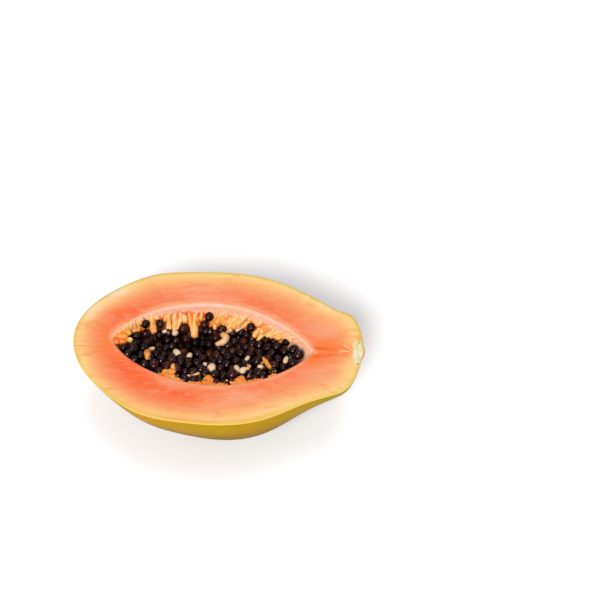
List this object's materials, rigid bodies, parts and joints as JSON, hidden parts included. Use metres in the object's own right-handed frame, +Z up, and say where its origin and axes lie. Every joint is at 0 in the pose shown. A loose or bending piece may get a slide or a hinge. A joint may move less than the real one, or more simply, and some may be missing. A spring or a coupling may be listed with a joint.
{
  "type": "papaya half",
  "caption": "Ripe papaya cut in half lengthwise, lying on its skin with the cut face up: orange flesh round an almond-shaped hollow heaped with black seeds.",
  "frame": {"origin": "on the resting surface, under the middle of the bounding box", "axes": "+X from the blossom end to the stem end, +Y to the far side with the fringe of strands, +Z up out of the cut face"},
  "size_m": [0.187, 0.113, 0.0613],
  "materials": {
    "flesh": "moist ripe papaya flesh, salmon orange in the middle and pale yellow towards the skin",
    "skin": "thin smooth waxy skin, olive gold with green and amber patches",
    "seeds": "wet glossy black-brown seeds in their gel",
    "pale_seeds": "unripe cream seeds and scraps of pale pulp",
    "strands": "soft orange-yellow pulp strands"
  },
  "bodies": {
    "root": {"papaya_flesh": "flesh", "seed_heap": "seeds"}
  },
  "joints": []
}
